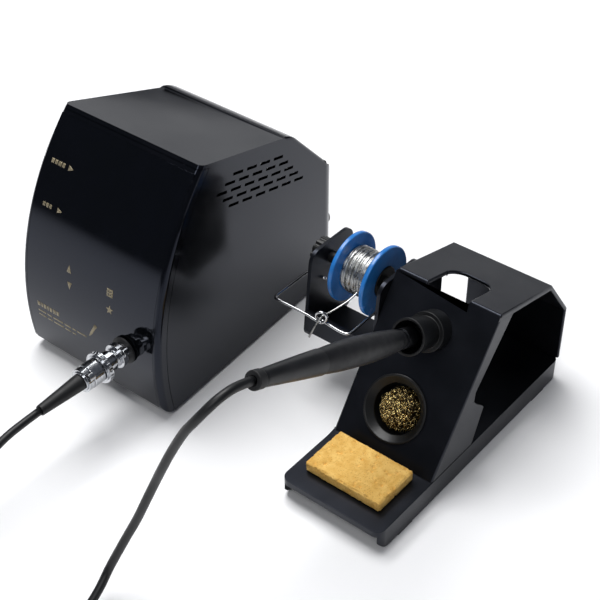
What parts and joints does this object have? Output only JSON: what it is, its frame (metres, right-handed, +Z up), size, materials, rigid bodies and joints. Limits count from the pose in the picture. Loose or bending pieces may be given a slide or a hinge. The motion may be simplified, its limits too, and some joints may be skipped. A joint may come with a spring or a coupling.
{
  "type": "soldering iron station",
  "caption": "Bench soldering station: bowed touch-panel control unit, corded iron, and a stand with tip sponge, brass-wool cleaner and solder spool.",
  "frame": {"origin": "on the table, under the middle of the footprint of control unit, stand and iron, without the cord", "axes": "+X to the right seen from the front, +Y to the back, +Z up"},
  "size_m": [0.2878, 0.4339, 0.165],
  "materials": {
    "black_shell": "glossy moulded ABS",
    "gloss_overlay": "mirror-gloss printed acrylic",
    "base_plastic": "fine-textured ABS",
    "foot_rubber": "matt",
    "display": "smoked red window",
    "circuit_board": "green solder mask",
    "heat_sink_metal": "extruded",
    "core_steel": "stacked laminations",
    "winding_copper": "enamelled wire",
    "socket_plastic": "moulded nylon",
    "contact_metal": "nickel plated",
    "rocker_red": "moulded",
    "bush_rubber": "matt moulded",
    "plug_chrome": "bright plated",
    "stand_black": "fine satin powder coat",
    "holder_plastic": "moulded phenolic",
    "brass_wool": "curled shavings",
    "sponge": "open-cell cellulose",
    "spool_blue": "moulded polystyrene",
    "solder": "drawn tin wire",
    "guide_steel": "drawn wire",
    "handle_plastic": "satin moulded",
    "grip_foam": "ribbed silicone",
    "barrel_steel": "stainless tube",
    "tip_plate": "iron-plated copper",
    "cord_rubber": "soft silicone jacket"
  },
  "bodies": {
    "base": {"housing": "black_shell", "bezel": "black_shell", "overlay": "gloss_overlay", "base_plate": "base_plastic", "foot_front_left": "foot_rubber", "foot_front_right": "foot_rubber", "foot_back_left": "foot_rubber", "foot_back_right": "foot_rubber", "display_upper": "display", "display_lower": "display", "panel_board": "circuit_board", "main_board": "circuit_board", "heat_sink": "heat_sink_metal", "transformer_core": "core_steel", "transformer_winding": "winding_copper", "inlet": "socket_plastic", "inlet_pins": "contact_metal", "switch_frame": "socket_plastic", "fuse_holder": "socket_plastic", "socket_flange": "bush_rubber", "socket_shell": "plug_chrome", "socket_nut": "plug_chrome", "socket_clamp": "plug_chrome", "plug_shell": "plug_chrome", "plug_clamp": "plug_chrome", "plug_boot": "bush_rubber", "stand_base": "stand_black", "stand_plate": "stand_black", "stand_web": "stand_black", "stand_top": "stand_black", "stand_back": "stand_black", "stand_wall": "stand_black", "pad_front_left": "foot_rubber", "pad_front_right": "foot_rubber", "pad_back_left": "foot_rubber", "pad_back_right": "foot_rubber", "holder": "holder_plastic", "holder_nut": "holder_plastic", "wool_cup": "holder_plastic", "spool_bracket": "stand_black", "spool_shaft": "stand_black", "solder_strand": "solder", "cord_to_plug": "cord_rubber", "cord_coil": "cord_rubber", "cord_to_iron": "cord_rubber"},
    "iron": {"handle": "handle_plastic", "grip": "grip_foam", "tail_boot": "bush_rubber", "barrel_nut": "barrel_steel", "barrel": "barrel_steel", "tip": "tip_plate"},
    "spool": {"spool": "spool_blue", "winding": "solder"},
    "knob": {"shaft_knob": "holder_plastic"},
    "guide": {"guide_bail": "guide_steel"},
    "nut": {"coupling_nut": "plug_chrome"},
    "rocker": {"rocker": "rocker_red"},
    "cap": {"fuse_cap": "socket_plastic"},
    "sponge": {"sponge": "sponge"},
    "wool": {"brass_wool": "brass_wool"}
  },
  "joints": [
    {"name": "iron_draw", "type": "slide", "parent": "base", "child": "iron", "axis": [0, -0.91, 0.4147], "range_m": [0, 0.1], "deforming": ["cord_to_iron"]},
    {"name": "spool_spin", "type": "hinge", "parent": "base", "child": "spool", "pos_m": [0.04826, 0.04566, 0.087], "axis": [1, 0, 0], "continuous": true},
    {"name": "knob_turn", "type": "hinge", "parent": "base", "child": "knob", "pos_m": [0.014, 0.04566, 0.087], "axis": [1, 0, 0], "continuous": true},
    {"name": "guide_swing", "type": "hinge", "parent": "base", "child": "guide", "pos_m": [0.038, 0.03766, 0.075], "axis": [1, 0, 0], "range_deg": [-60, 40], "deforming": ["solder_strand"]},
    {"name": "nut_turn", "type": "hinge", "parent": "base", "child": "nut", "pos_m": [-0.05214, -0.08464, 0.0467], "axis": [0, 1, 0], "continuous": true},
    {"name": "rocker_tilt", "type": "hinge", "parent": "base", "child": "rocker", "pos_m": [-0.07414, 0.11736, 0.038], "axis": [1, 0, 0], "range_deg": [-18, 0]},
    {"name": "cap_turn", "type": "hinge", "parent": "base", "child": "cap", "pos_m": [-0.05414, 0.12336, 0.038], "axis": [0, 1, 0], "range_deg": [0, 90]},
    {"name": "sponge_lift", "type": "slide", "parent": "base", "child": "sponge", "axis": [0, 0, 1], "range_m": [0, 0.01]},
    {"name": "wool_pull", "type": "slide", "parent": "base", "child": "wool", "axis": [0, -0.8231, 0.5678], "range_m": [0, 0.016]}
  ]
}
